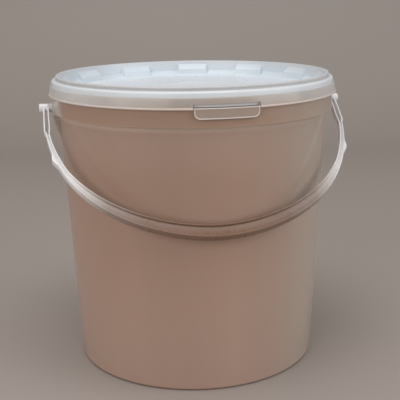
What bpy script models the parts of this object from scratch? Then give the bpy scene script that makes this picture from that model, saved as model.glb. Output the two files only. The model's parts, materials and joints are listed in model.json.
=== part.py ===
"""Fermenting bucket: a tapered plastic pail with a press-on lid, a swinging bail handle and a
pull-up tamper tab held by four breakaway nibs.

Metres, +Z up. The origin is the middle of the base, on the surface that the pail stands on.
The bail's pivot axis lies along X, and the front, where the bail rests, is -Y.
"""

import math

import bmesh
import bpy
from mathutils import Matrix

# ---------------------------------------------------------------- driving dimensions
TURN_STEPS = 60                 # flats around every large turned shape
SMALL_STEPS = 24                # flats around pins and bores
GAP = 0.0003                    # clearance between touching pieces

# Pail: wall, base and neck
WALL = 0.0016
FOOT_RADIUS = 0.1150            # wall's outer radius where it would meet the ground
TAPER = 0.0468                  # gain in radius for each unit of height
CORNER = 0.0055                 # radius between wall and foot ring
FOOT_RING_INNER = 0.1080
BASE_RECESS = 0.0025            # height of the base panel's underside
BASE_THICKNESS = 0.0018
FLANGE_BOTTOM = 0.2540
FLANGE_TOP = 0.2554
NECK_OUTER = 0.1280
NECK_INNER = 0.1264
RIM_TOP = 0.2672
RIM_BEAD_RADIUS = 0.1293

# Pail: outer collar above the flange and stiffening skirt below it
COLLAR_LIP_RADIUS = 0.1348
COLLAR_FOOT_RADIUS = 0.1342
COLLAR_TOP_RADIUS = 0.1330
COLLAR_TOP = 0.2636
COLLAR_INNER = 0.1321
SKIRT_OUTER = 0.1313
SKIRT_INNER = 0.1300
SKIRT_BOTTOM = 0.2390

# Ears and bail pivot
PIVOT_HEIGHT = 0.2425
EAR_RADIUS = 0.0100
EAR_ROOT = 0.1255
EAR_FACE = 0.1319
HUB_RADIUS = 0.0044             # short tube on the ear, around the pin
HUB_TIP = 0.1347
GUSSET_HALF_WIDTH = 0.0055
GUSSET_EDGE = ((0.1300, 0.2270), (0.1276, 0.2180), (0.1256, 0.2090))  # distance out, height
GUSSET_SHOULDER = 0.2350        # height where the gusset leaves the ear's face
GUSSET_BOTTOM = 0.2040
EASE = 0.0003                   # small chamfer on moulded edges
SOCKET_MOUTH_RADIUS = 0.0034
SOCKET_RADIUS = 0.0047
SOCKET_STEP = 0.1300            # distance from the middle where the mouth widens
SOCKET_FLOOR = 0.1270
PIN_HEAD_RADIUS = 0.0042
PIN_RADIUS = 0.0031
BOSS_RADIUS = 0.0040
BOSS_INNER = 0.1355
BOSS_TIP = 0.1440

# Bail strip: (x / half span) ^ span power + (reach / full reach) ^ reach power = 1 is its outer
# edge in the bail's own plane, and its section is H-shaped
BAIL_HALF_SPAN = 0.1404
BAIL_REACH = 0.1654
SPAN_POWER = 1.86
REACH_POWER = 2.56
BAIL_REST_TILT = 55.0           # degrees forward of hanging straight down
STRIP_START_DEPTH = 0.0036      # depth in the bail's plane where the strip leaves the loop
STRIP_SIDE_DEPTH = 0.0052       # the same, at STRIP_SIDE
STRIP_GRIP_DEPTH = 0.0130       # the same, in the middle, where it is held
STRIP_WIDTH = 0.0060            # across the bail's plane
FLANGE_THICKNESS = 0.0013
WEB_THICKNESS = 0.0016
STRIP_START = 0.0370            # distance below the pivot where the strip starts
STRIP_SIDE = 0.0850
STRIP_STATIONS = 52
STRIP_STAGGER = 0.0006
LOOP_OUTER = 0.1398             # middle of the loop's outer strand
LOOP_INNER = 0.1358             # middle of its inner strand
LOOP_LENGTH = 0.0340
NUB_PLACE = 0.0690
NUB_LENGTH = 0.0180
NUB_HEIGHT = 0.0022

# Lid
LID_TURN = 9.5                  # degrees clockwise from above
LID_TOP = 0.2718
LID_RIM_OUTER = 0.1278
LID_RIM_INNER = 0.1246
LID_GROOVE_RADIUS = 0.1268
LID_SHOULDER = 0.2685
LID_SKIRT_OUTER = 0.1317
LID_SKIRT_INNER = 0.13035
LID_SKIRT_BOTTOM = 0.2558
LID_SNAP_RADIUS = 0.12975
LID_PLUG_RADIUS = 0.1260
LID_WALL = 0.0014
LID_FLOOR_TOP = 0.2574
LID_DISC_RADIUS = 0.1040
LID_DISC_STEP = 0.0005
LEDGE_COUNT = 12
LEDGE_INNER = 0.1180
LEDGE_OUTER = 0.1232
LEDGE_SLOPE = 0.8
LEDGE_RISE = 0.0060             # a raised ledge's height above a low one
LEDGE_DROP = 0.0018             # from a ledge's sloped top straight down to its underside

# Tamper tab, with its window in the collar
TAB_ANGLE = 2.9                 # degrees from -Y towards +X
TAB_HALF_ANGLE = 11.7
TAB_BOTTOM = 0.2464
TAB_TOP = FLANGE_TOP
TAB_CORNER = 0.0050
TAB_OUTER = COLLAR_LIP_RADIUS
TAB_THICKNESS = 0.0013
TAB_COLUMNS = 18
WINDOW_HALF_ANGLE = 12.1
WINDOW_TOP = 0.2589
NIB_ANGLES = (-7.3, -2.6, 2.6, 7.3)
NIB_HEIGHT = 0.2484
NIB_SIZE = 0.0012

# ---------------------------------------------------------------- scene helpers


def clear_scene():
    """Remove every object, and the collections of an earlier run."""
    for old in list(bpy.data.objects):
        bpy.data.objects.remove(old, do_unlink=True)
    for old in list(bpy.data.collections):
        bpy.data.collections.remove(old)


def new_collection(name):
    collection = bpy.data.collections.new(name)
    bpy.context.scene.collection.children.link(collection)
    return collection


def plastic(name, color, roughness, alpha):
    """A moulded plastic: a Principled surface, slightly see-through when alpha is under one."""
    made = bpy.data.materials.new(name)
    made.use_nodes = True
    shader = made.node_tree.nodes["Principled BSDF"]
    shader.inputs["Base Color"].default_value = (*color, 1.0)
    shader.inputs["Roughness"].default_value = roughness
    shader.inputs["Metallic"].default_value = 0.0
    shader.inputs["Alpha"].default_value = alpha
    made.diffuse_color = (*color, 1.0)
    return made


def object_from(name, mesh, collection, material=None):
    made = bpy.data.objects.new(name, mesh)
    collection.objects.link(made)
    if material:
        mesh.materials.append(material)
    return made


def mesh_from(name, shape):
    """Turn a bmesh into a mesh whose faces point out, and free the bmesh."""
    bmesh.ops.recalc_face_normals(shape, faces=shape.faces)
    mesh = bpy.data.meshes.new(name)
    shape.to_mesh(mesh)
    shape.free()
    return mesh


def hide_tool(tool):
    tool.hide_render = True
    tool.display_type = 'WIRE'


def combine(target, tool, operation):
    """Union or cut target with a hidden tool, by a modifier that stays on the target."""
    hide_tool(tool)
    step = target.modifiers.new(tool.name, 'BOOLEAN')
    step.operation = operation
    step.object = tool
    step.solver = 'EXACT'


def smooth(mesh, angle=35.0):
    mesh.shade_smooth()
    mesh.set_sharp_from_angle(angle=math.radians(angle))


# ---------------------------------------------------------------- shape helpers


def arc(center, radius, start, end, steps):
    """Points of a circular arc in the profile's plane, both ends included, angles in degrees."""
    points = []
    for i in range(steps + 1):
        angle = math.radians(start + (end - start) * i / steps)
        points.append((center[0] + radius * math.cos(angle), center[1] + radius * math.sin(angle)))
    return points


def turned_mesh(name, profile, steps):
    """Turn a profile of (radius, height) points around Z. Its outer side runs downwards."""
    shape = bmesh.new()
    ring = [shape.verts.new((radius, 0.0, height)) for radius, height in profile]
    for first, second in zip(ring, ring[1:]):
        shape.edges.new((first, second))
    mesh = bpy.data.meshes.new(name + "_profile")
    shape.to_mesh(mesh)
    shape.free()
    guide = object_from(name + "_profile", mesh, bpy.context.scene.collection)
    screw = guide.modifiers.new("turn", 'SCREW')
    screw.steps = steps
    screw.render_steps = steps
    screw.use_merge_vertices = True
    screw.merge_threshold = 0.00005
    screw.use_smooth_shade = True
    graph = bpy.context.evaluated_depsgraph_get()
    result = bpy.data.meshes.new_from_object(guide.evaluated_get(graph))
    result.name = name
    bpy.data.objects.remove(guide, do_unlink=True)
    smooth(result)
    return result


def turned_pair(name, profile, steps, collection):
    """The same turned shape on both ends of the pivot axis, as one mesh of two bodies.

    The profile's height is the distance outwards from the middle of the pail.
    """
    single = turned_mesh(name, profile, steps)
    pair = bmesh.new()
    for side in (1.0, -1.0):
        before = len(pair.verts)
        pair.from_mesh(single)
        pair.verts.ensure_lookup_table()
        turn = Matrix.Rotation(side * math.pi / 2.0, 4, 'Y')
        bmesh.ops.transform(pair, matrix=turn, verts=pair.verts[before:])
    return object_from(name, mesh_from(name, pair), collection)


def sector(shape, outline, middle, half_angle, steps):
    """Add the solid swept by an outline of (radius, height) points through an angle around Z."""
    start = math.radians(middle - half_angle)
    corners = [shape.verts.new((r * math.cos(start), r * math.sin(start), z)) for r, z in outline]
    face = shape.faces.new(corners)
    bmesh.ops.spin(shape, geom=[face, *face.edges, *corners], cent=(0.0, 0.0, 0.0), axis=(0.0, 0.0, 1.0),
                   dvec=(0.0, 0.0, 0.0), angle=math.radians(2.0 * half_angle), steps=steps,
                   use_merge=False, use_duplicate=False)


def wall_radius(height):
    """The pail wall's outer radius at a height."""
    return FOOT_RADIUS + TAPER * height


# ---------------------------------------------------------------- pail


def pail_profile():
    """From the middle of the floor out, up the inside, over the rim and down the outside."""
    floor = BASE_RECESS + BASE_THICKNESS
    wall_foot = wall_radius(CORNER)
    inner_corner = arc((wall_foot - WALL - CORNER, floor + CORNER), CORNER, -90.0, 0.0, 4)
    outer_corner = arc((wall_foot - CORNER, CORNER), CORNER, 0.0, -70.0, 4)
    inside = [(0.0, floor), *inner_corner]
    inside += [(wall_radius(FLANGE_BOTTOM) - WALL, FLANGE_BOTTOM - 0.0010), (NECK_INNER, FLANGE_TOP + 0.0004)]
    rim = [(NECK_INNER, RIM_TOP - 0.0014), (NECK_INNER + 0.0007, RIM_TOP)]
    rim += [(RIM_BEAD_RADIUS - 0.0009, RIM_TOP), (RIM_BEAD_RADIUS, RIM_TOP - 0.0010)]
    rim += [(RIM_BEAD_RADIUS, RIM_TOP - 0.0023), (NECK_OUTER, RIM_TOP - 0.0034)]
    collar = [(NECK_OUTER, FLANGE_TOP), (COLLAR_INNER + EASE, FLANGE_TOP), (COLLAR_INNER, COLLAR_TOP - EASE)]
    collar += [(COLLAR_INNER + EASE, COLLAR_TOP), (COLLAR_TOP_RADIUS - 0.0002, COLLAR_TOP)]
    collar += [(COLLAR_TOP_RADIUS, COLLAR_TOP - EASE), (COLLAR_FOOT_RADIUS, FLANGE_TOP + 0.0005)]
    collar += [(COLLAR_LIP_RADIUS, FLANGE_TOP - 0.0001), (COLLAR_LIP_RADIUS, FLANGE_BOTTOM + 0.0002)]
    skirt = [(COLLAR_LIP_RADIUS - EASE, FLANGE_BOTTOM), (SKIRT_OUTER, FLANGE_BOTTOM)]
    skirt += [(SKIRT_OUTER, SKIRT_BOTTOM + EASE), (SKIRT_OUTER - EASE, SKIRT_BOTTOM)]
    skirt += [(SKIRT_INNER, SKIRT_BOTTOM), (SKIRT_INNER, FLANGE_BOTTOM)]
    outside = [(wall_radius(FLANGE_BOTTOM), FLANGE_BOTTOM), *outer_corner]
    foot = [(outer_corner[-1][0] - 0.0014, 0.0), (FOOT_RING_INNER, 0.0)]
    foot += [(FOOT_RING_INNER - 0.0016, BASE_RECESS)]
    return inside + rim + collar + skirt + outside + foot + [(0.0, BASE_RECESS)]


def ear_profile():
    """A round pad along the pivot axis, proud of the skirt, with a hub around the pin."""
    hub = [(0.0, HUB_TIP), (HUB_RADIUS - EASE, HUB_TIP), (HUB_RADIUS, HUB_TIP - EASE)]
    pad = [(HUB_RADIUS, EAR_FACE), (EAR_RADIUS - EASE, EAR_FACE), (EAR_RADIUS, EAR_FACE - EASE)]
    return hub + pad + [(EAR_RADIUS, EAR_ROOT), (0.0, EAR_ROOT)]


def socket_profile():
    """The blind stepped socket that holds the pin's head behind a narrower mouth."""
    return [(0.0, HUB_TIP + 0.0010), (SOCKET_MOUTH_RADIUS, HUB_TIP + 0.0010),
            (SOCKET_MOUTH_RADIUS, SOCKET_STEP), (SOCKET_RADIUS, SOCKET_STEP),
            (SOCKET_RADIUS, SOCKET_FLOOR), (0.0, SOCKET_FLOOR)]


def make_gussets(tools):
    """A wedge under each ear that runs down into the wall."""
    bite = WALL / 2.0
    face = EAR_FACE - EASE
    outline = [(wall_radius(PIVOT_HEIGHT) - bite, PIVOT_HEIGHT), (face, PIVOT_HEIGHT),
               (face, GUSSET_SHOULDER), *GUSSET_EDGE, (wall_radius(GUSSET_BOTTOM) - bite, GUSSET_BOTTOM)]
    shape = bmesh.new()
    for side in (1.0, -1.0):
        rows = []
        for y in (-GUSSET_HALF_WIDTH, GUSSET_HALF_WIDTH):
            rows.append([shape.verts.new((side * x, y, z)) for x, z in outline])
            shape.faces.new(rows[-1])
        for i, first in enumerate(rows[0]):
            following = (i + 1) % len(outline)
            shape.faces.new((first, rows[0][following], rows[1][following], rows[1][i]))
    return object_from("ear_gussets", mesh_from("ear_gussets", shape), tools)


def make_tab_window(tools):
    """The cut-out that takes the tab, and the window above it that shows the lid's edge."""
    middle = TAB_ANGLE - 90.0
    outside = COLLAR_LIP_RADIUS + 0.0010
    seat = TAB_OUTER - TAB_THICKNESS - GAP
    window = COLLAR_INNER - 0.0003
    split = FLANGE_TOP + 0.0002
    outline = [(seat, FLANGE_BOTTOM - 0.0010), (outside, FLANGE_BOTTOM - 0.0010), (outside, WINDOW_TOP),
               (window, WINDOW_TOP), (window, split), (seat, split)]
    shape = bmesh.new()
    sector(shape, outline, middle, WINDOW_HALF_ANGLE, 8)
    return object_from("tab_window", mesh_from("tab_window", shape), tools)


def make_pail(parts, tools, material):
    pail = object_from("pail", turned_mesh("pail", pail_profile(), TURN_STEPS), parts, material)
    ears = turned_pair("ears", ear_profile(), SMALL_STEPS, tools)
    sockets = turned_pair("ear_sockets", socket_profile(), SMALL_STEPS, tools)
    for tool in (ears, sockets):
        tool.location.z = PIVOT_HEIGHT
    combine(pail, make_tab_window(tools), 'DIFFERENCE')
    combine(pail, ears, 'UNION')
    combine(pail, make_gussets(tools), 'UNION')
    combine(pail, sockets, 'DIFFERENCE')
    return pail


# ---------------------------------------------------------------- lid


def ledge_height(radius, rise):
    """Height of the sloped ledge's top inside the lid's rim."""
    return LID_FLOOR_TOP + rise + LEDGE_SLOPE * (radius - LEDGE_INNER)


def lid_profile():
    """From the middle of the panel out, up the rim's inside, and down the grip skirt."""
    underside = LID_FLOOR_TOP - LID_WALL
    seat = RIM_TOP + GAP
    panel = [(0.0, LID_FLOOR_TOP + LID_DISC_STEP), (LID_DISC_RADIUS, LID_FLOOR_TOP + LID_DISC_STEP)]
    panel += [(LID_DISC_RADIUS + 0.0010, LID_FLOOR_TOP), (LEDGE_INNER, LID_FLOOR_TOP)]
    rim = [(LEDGE_OUTER, ledge_height(LEDGE_OUTER, 0.0)), (LID_RIM_INNER, LID_TOP - 0.0005)]
    rim += [(LID_RIM_INNER + 0.0004, LID_TOP), (LID_RIM_OUTER - 0.0005, LID_TOP)]
    rim += [(LID_RIM_OUTER, LID_TOP - 0.0005), (LID_RIM_OUTER, LID_TOP - 0.0012)]
    groove = [(LID_GROOVE_RADIUS, LID_TOP - 0.0018), (LID_GROOVE_RADIUS, LID_SHOULDER + 0.0004)]
    shoulder = [(LID_GROOVE_RADIUS + 0.0004, LID_SHOULDER), (LID_SKIRT_OUTER - 0.0020, LID_SHOULDER)]
    shoulder += arc((LID_SKIRT_OUTER - 0.0020, LID_SHOULDER - 0.0020), 0.0020, 60.0, 0.0, 3)
    skirt = [(LID_SKIRT_OUTER, LID_SKIRT_BOTTOM + 0.0003), (LID_SKIRT_OUTER - 0.0003, LID_SKIRT_BOTTOM)]
    skirt += [(LID_SKIRT_INNER + 0.0003, LID_SKIRT_BOTTOM), (LID_SKIRT_INNER, LID_SKIRT_BOTTOM + 0.0004)]
    snap_height = RIM_TOP - 0.0047
    snap = [(LID_SKIRT_INNER, snap_height - 0.0010), (LID_SNAP_RADIUS, snap_height - 0.0003)]
    snap += [(LID_SNAP_RADIUS, snap_height + 0.0003), (LID_SKIRT_INNER, snap_height + 0.0012)]
    inside = [(LID_SKIRT_INNER, seat - 0.0009), (LID_SKIRT_INNER - 0.0009, seat)]
    inside += [(LID_PLUG_RADIUS + 0.0006, seat), (LID_PLUG_RADIUS, seat - 0.0006)]
    plug_bottom = ledge_height(LID_PLUG_RADIUS, 0.0) - LEDGE_DROP
    web_foot = LEDGE_INNER + (LEDGE_DROP - LID_WALL) / LEDGE_SLOPE
    plug = [(LID_PLUG_RADIUS, plug_bottom), (web_foot, underside), (0.0, underside)]
    return panel + rim + groove + shoulder + skirt + snap + inside + plug


def make_ledges(tools, name, inner, outer, bottom, drop, half_angle):
    """Twelve equal sectors with sloped tops: the raised ledges, or the hollows beneath them."""
    shape = bmesh.new()
    outline = [(inner, bottom), (outer, bottom), (outer, ledge_height(outer, LEDGE_RISE) - drop),
               (inner, ledge_height(inner, LEDGE_RISE) - drop)]
    for index in range(LEDGE_COUNT):
        sector(shape, outline, 90.0 + index * 360.0 / LEDGE_COUNT, half_angle, 3)
    return object_from(name, mesh_from(name, shape), tools)


def make_lid(parts, tools, material):
    lid = object_from("lid", turned_mesh("lid", lid_profile(), TURN_STEPS), parts, material)
    half = 90.0 / LEDGE_COUNT
    wall_angle = math.degrees(LID_WALL / LEDGE_INNER)
    underside = LID_FLOOR_TOP - LID_WALL
    blocks = make_ledges(tools, "raised_ledges", LEDGE_INNER, LID_PLUG_RADIUS - 0.0001, underside + 0.0003,
                         0.0, half)
    hollows = make_ledges(tools, "ledge_hollows", LEDGE_INNER + LID_WALL, LID_RIM_INNER,
                          underside - 0.0010, LEDGE_DROP, half - wall_angle)
    for tool in (blocks, hollows):
        tool.rotation_euler.z = -math.radians(LID_TURN)
    combine(lid, blocks, 'UNION')
    combine(lid, hollows, 'DIFFERENCE')
    lid.rotation_euler.z = -math.radians(LID_TURN)
    return lid


# ---------------------------------------------------------------- bail handle


def bail_point(turn, inset):
    """A point of the bail's plane: turn runs from 0 at one end to 180 at the other, and inset
    is measured inwards from the outer edge. X is along the pivot axis, and -Y points away."""
    cos = math.cos(math.radians(turn))
    x = math.copysign(BAIL_HALF_SPAN * abs(cos) ** (2.0 / SPAN_POWER), cos)
    reach = reach_at(turn)
    slope_x = abs(x / BAIL_HALF_SPAN) ** (SPAN_POWER - 1.0) * SPAN_POWER / BAIL_HALF_SPAN
    slope_reach = (reach / BAIL_REACH) ** (REACH_POWER - 1.0) * REACH_POWER / BAIL_REACH
    length = math.hypot(slope_x, slope_reach)
    return x - inset * math.copysign(slope_x, x) / length, -(reach - inset * slope_reach / length)


def reach_at(turn):
    """The outer edge's distance from the pivot axis at a turn."""
    return BAIL_REACH * math.sin(math.radians(turn)) ** (2.0 / REACH_POWER)


def turn_at(reach):
    """The turn at which the outer edge is that far from the pivot axis."""
    return math.degrees(math.asin((reach / BAIL_REACH) ** (REACH_POWER / 2.0)))


def strip_depth(turn):
    """The strip's depth, which grows from the loop to the sides and on to the grip."""
    reach = reach_at(turn)
    side = min(max((reach - STRIP_START) / (STRIP_SIDE - STRIP_START), 0.0), 1.0)
    side = side * side * (3.0 - 2.0 * side)
    grip = max((reach - STRIP_SIDE) / (BAIL_REACH - STRIP_SIDE), 0.0)
    return (STRIP_START_DEPTH + (STRIP_SIDE_DEPTH - STRIP_START_DEPTH) * side
            + (STRIP_GRIP_DEPTH - STRIP_SIDE_DEPTH) * grip)


def ribbon(name, edges, width, tools):
    """A flat ribbon between two edges, each a list of points, made solid by a thickness."""
    shape = bmesh.new()
    count = len(edges[0])
    bmesh.ops.create_grid(shape, x_segments=count - 1, y_segments=1, size=1.0)
    for vertex in shape.verts:
        station = round((vertex.co.x + 1.0) / 2.0 * (count - 1))
        edge = edges[0] if vertex.co.y > 0.0 else edges[1]
        vertex.co = (edge[station][0], edge[station][1], 0.0)
    mesh = bpy.data.meshes.new(name)
    shape.to_mesh(mesh)
    shape.free()
    made = object_from(name, mesh, tools)
    solid = made.modifiers.new("thickness", 'SOLIDIFY')
    solid.thickness = width
    solid.offset = 0.0
    return made


def strip_ribbon(name, from_depth, to_depth, inset, width, offset, tools):
    """A ribbon along the strip, between two shares of its depth, each moved by an inset.

    Each ribbon has its own offset, 0, 1 or 2, which starts it a little later and gives it more
    stations, so that no two ribbons meet edge to edge.
    """
    start = turn_at(STRIP_START + offset * STRIP_STAGGER)
    count = STRIP_STATIONS + offset
    turns = [start + (180.0 - 2.0 * start) * i / count for i in range(count + 1)]
    outer = [bail_point(turn, from_depth * strip_depth(turn) + inset[0]) for turn in turns]
    inner = [bail_point(turn, to_depth * strip_depth(turn) + inset[1]) for turn in turns]
    return ribbon(name, (outer, inner), width, tools)


def strand(name, middle, side, tools):
    """One strand of an end loop, with its middle line given on the right-hand side."""
    half = FLANGE_THICKNESS / 2.0
    edges = ([], [])
    for index, (x, reach) in enumerate(middle):
        before = middle[max(index - 1, 0)]
        after = middle[min(index + 1, len(middle) - 1)]
        run = (after[0] - before[0], after[1] - before[1])
        length = math.hypot(*run)
        across = (half * run[1] / length, -half * run[0] / length)
        edges[0].append((side * (x + across[0]), -(reach + across[1])))
        edges[1].append((side * (x - across[0]), -(reach - across[1])))
    return ribbon(name, edges, STRIP_WIDTH - 0.0005, tools)


def make_loop(side, tools):
    """The loop that joins the strip to the boss, and the nub on the strip's outer edge."""
    start_x, _ = bail_point(turn_at(STRIP_START), 0.0)
    outer_end = start_x - FLANGE_THICKNESS
    inner_end = start_x - STRIP_START_DEPTH + 0.0005
    outer = [(LOOP_OUTER - 0.0002, 0.0010), (LOOP_OUTER, LOOP_LENGTH * 0.45),
             (LOOP_OUTER - 0.0001, LOOP_LENGTH - 0.0045), (LOOP_OUTER - 0.0009, LOOP_LENGTH - 0.0012),
             (outer_end + 0.0006, LOOP_LENGTH + 0.0016), (outer_end, LOOP_LENGTH + 0.0060)]
    inner = [(LOOP_INNER, 0.0010), (LOOP_INNER, LOOP_LENGTH * 0.45), (LOOP_INNER - 0.0004, LOOP_LENGTH * 0.8),
             (inner_end + 0.0002, STRIP_START + 0.0006), (inner_end - 0.0004, STRIP_START + 0.0046)]
    word = "right" if side > 0.0 else "left"
    made = [strand(f"loop_outer_{word}", outer, side, tools)]
    made.append(strand(f"loop_inner_{word}", inner, side, tools))
    outer_edge = []
    inner_edge = []
    for index in range(9):
        reach = NUB_PLACE + NUB_LENGTH * (index / 8.0 - 0.5)
        turn = turn_at(reach)
        rise = NUB_HEIGHT * (0.5 + 0.5 * math.cos(2.0 * math.pi * (index / 8.0 - 0.5)))
        for edge, inset in ((outer_edge, -rise + 0.0002), (inner_edge, FLANGE_THICKNESS * 0.6)):
            x, y = bail_point(turn, inset)
            edge.append((side * x, y))
    made.append(ribbon(f"nub_{word}", (outer_edge, inner_edge), STRIP_WIDTH - 0.0012, tools))
    return made


def boss_profile():
    """Round boss, pin through the ear's mouth, and the head that keeps it in."""
    chamfer = 0.0004
    head_outer = SOCKET_STEP - 0.0004
    head_inner = SOCKET_FLOOR + 0.0004
    return [(0.0, BOSS_TIP), (BOSS_RADIUS - chamfer, BOSS_TIP), (BOSS_RADIUS, BOSS_TIP - chamfer),
            (BOSS_RADIUS, BOSS_INNER), (PIN_RADIUS, BOSS_INNER), (PIN_RADIUS, head_outer),
            (PIN_HEAD_RADIUS, head_outer), (PIN_HEAD_RADIUS, head_inner + 0.0008),
            (PIN_HEAD_RADIUS - 0.0010, head_inner), (0.0, head_inner)]


def make_bail(parts, tools, material):
    bosses = turned_pair("bail_handle", boss_profile(), SMALL_STEPS, parts)
    bosses.data.materials.append(material)
    web_inset = FLANGE_THICKNESS / 2.0
    tool_list = [strip_ribbon("strip_web", 0.0, 1.0, (web_inset, -web_inset), WEB_THICKNESS, 1, tools),
                 strip_ribbon("strip_outer", 0.0, 0.0, (0.0, FLANGE_THICKNESS), STRIP_WIDTH, 0, tools),
                 strip_ribbon("strip_inner", 1.0, 1.0, (-FLANGE_THICKNESS, 0.0), STRIP_WIDTH, 2, tools)]
    for side in (1.0, -1.0):
        tool_list += make_loop(side, tools)
    for tool in tool_list:
        combine(bosses, tool, 'UNION')
    for piece in (bosses, *tool_list):
        piece.location.z = PIVOT_HEIGHT
        piece.rotation_euler.x = math.radians(90.0 - BAIL_REST_TILT)
    return bosses


# ---------------------------------------------------------------- tamper tab and nibs


def around(angle, radius, height):
    """A point at an angle in degrees from the tab's middle, going round with the pail."""
    turn = math.radians(TAB_ANGLE - 90.0 + angle)
    return radius * math.cos(turn), radius * math.sin(turn), height


def tab_edge_height(angle):
    """Height of the tab's lower edge, which rises in a round corner at each end."""
    from_end = math.radians(TAB_HALF_ANGLE - abs(angle)) * TAB_OUTER
    if from_end >= TAB_CORNER:
        return TAB_BOTTOM
    return TAB_BOTTOM + TAB_CORNER - math.sqrt(TAB_CORNER ** 2 - (TAB_CORNER - from_end) ** 2)


def make_tab(parts, material):
    """A curved plate hinged on the chord between its two upper corners."""
    hinge_radius = (TAB_OUTER - TAB_THICKNESS / 2.0) * math.cos(math.radians(TAB_HALF_ANGLE))
    hinge = around(0.0, hinge_radius, TAB_TOP)
    shape = bmesh.new()
    bmesh.ops.create_grid(shape, x_segments=TAB_COLUMNS, y_segments=3, size=1.0)
    for vertex in shape.verts:
        angle = TAB_HALF_ANGLE * math.sin(vertex.co.x * math.pi / 2.0)
        share = (vertex.co.y + 1.0) / 2.0
        height = tab_edge_height(angle) * (1.0 - share) + TAB_TOP * share
        place = around(angle, TAB_OUTER - TAB_THICKNESS / 2.0, height)
        vertex.co = [at - home for at, home in zip(place, hinge)]
    tab = object_from("tamper_tab", mesh_from("tamper_tab", shape), parts, material)
    tab.location = hinge
    solid = tab.modifiers.new("thickness", 'SOLIDIFY')
    solid.thickness = TAB_THICKNESS
    solid.offset = 0.0
    return tab


def make_nib(index, angle, parts, material):
    """A small bridge between the skirt and the back of the tab, which snaps at first use."""
    inner = SKIRT_OUTER + GAP
    outer = TAB_OUTER - TAB_THICKNESS - GAP
    shape = bmesh.new()
    bmesh.ops.create_cube(shape, size=1.0)
    bmesh.ops.scale(shape, vec=(outer - inner, NIB_SIZE, NIB_SIZE), verts=shape.verts)
    nib = object_from(f"breakaway_nib_{index}", mesh_from("nib", shape), parts, material)
    nib.location = around(angle, (inner + outer) / 2.0, NIB_HEIGHT)
    nib.rotation_euler.z = math.radians(TAB_ANGLE - 90.0 + angle)
    return nib


# ---------------------------------------------------------------- assembly


def main():
    clear_scene()
    parts = new_collection("fermenting_bucket")
    tools = new_collection("cutters")
    pail_plastic = plastic("natural_translucent_plastic", (0.62, 0.52, 0.46), 0.25, 0.75)
    lid_plastic = plastic("white_lid_plastic", (0.86, 0.89, 0.91), 0.35, 1.0)
    bail_plastic = plastic("white_handle_plastic", (0.80, 0.79, 0.77), 0.35, 1.0)
    make_pail(parts, tools, pail_plastic)
    make_lid(parts, tools, lid_plastic)
    make_bail(parts, tools, bail_plastic)
    make_tab(parts, pail_plastic)
    for index, angle in enumerate(NIB_ANGLES, start=1):
        make_nib(index, angle, parts, pail_plastic)


main()
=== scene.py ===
"""Looks for the fermenting bucket: fine meshes, plastics, floor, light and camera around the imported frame.

Metres, in the frame's own axes: +Z up, X along the bail's pivot axis, the front at -Y.
"""

import json
import math

import bmesh
import bpy
from mathutils import Matrix, Vector


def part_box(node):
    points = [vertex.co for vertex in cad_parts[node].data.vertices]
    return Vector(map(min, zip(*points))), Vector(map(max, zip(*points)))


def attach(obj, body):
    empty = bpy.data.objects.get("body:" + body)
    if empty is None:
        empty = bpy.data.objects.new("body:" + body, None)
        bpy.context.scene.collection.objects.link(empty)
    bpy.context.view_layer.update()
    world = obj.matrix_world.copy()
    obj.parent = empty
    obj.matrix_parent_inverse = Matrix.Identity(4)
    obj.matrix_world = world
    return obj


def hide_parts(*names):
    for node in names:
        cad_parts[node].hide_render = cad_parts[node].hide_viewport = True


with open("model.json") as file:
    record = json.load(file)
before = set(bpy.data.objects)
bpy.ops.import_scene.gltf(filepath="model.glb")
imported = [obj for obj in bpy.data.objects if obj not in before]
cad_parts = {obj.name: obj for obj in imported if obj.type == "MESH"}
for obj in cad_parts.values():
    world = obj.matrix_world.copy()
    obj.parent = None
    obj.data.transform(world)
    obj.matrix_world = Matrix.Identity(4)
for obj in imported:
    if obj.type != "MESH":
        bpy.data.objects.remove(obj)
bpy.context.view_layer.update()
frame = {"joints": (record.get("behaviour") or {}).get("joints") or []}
JOINTS = {joint["name"]: joint for joint in frame["joints"]}
PAIL_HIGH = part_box("pail")[1]
LID_LOW, LID_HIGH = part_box("lid")
BAIL_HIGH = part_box("bail_handle")[1]
TAB_LOW, TAB_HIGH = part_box("tamper_tab")

TURN_STATIONS = 288             # stations around the pail
PIN_STATIONS = 64               # stations around pins and sockets
MERGE = 0.000002                # points closer than this become one
SHARP_ANGLE = 38.0              # edges steeper than this, in degrees, stay sharp

# ---------------------------------------------------------------- sizes shared by the pieces
WALL = 0.0016
FOOT_RADIUS = 0.1150            # radius of the wall's outside at the ground
TAPER = 0.0468                  # how much wider the wall gets for each metre of height
RIM_TOP = PAIL_HIGH.z
RIM_BEAD_RADIUS = 0.1293
NECK_OUTER = 0.1280
NECK_INNER = 0.1264
LIP_RADIUS = PAIL_HIGH.y        # outer edge of the flange that the collar stands on
FLANGE_TOP = TAB_HIGH.z
FLANGE_BOTTOM = FLANGE_TOP - 0.0014
SKIRT_BOTTOM = FLANGE_BOTTOM - 0.0150
SKIRT_OUTER = 0.1313
SKIRT_INNER = 0.1300
COLLAR_INNER = 0.1321
COLLAR_OUTER_TOP = 0.1330
COLLAR_OUTER_FOOT = 0.1342
COLLAR_TOP = FLANGE_TOP + 0.0082
PIVOT_HEIGHT = JOINTS["bail_swing"]["pos_m"][2]
TAB_AXIS = JOINTS["tab_swing"]["axis"]
TAB_ANGLE = math.atan2(-TAB_AXIS[1], -TAB_AXIS[0])


# ---------------------------------------------------------------- mesh helpers


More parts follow.
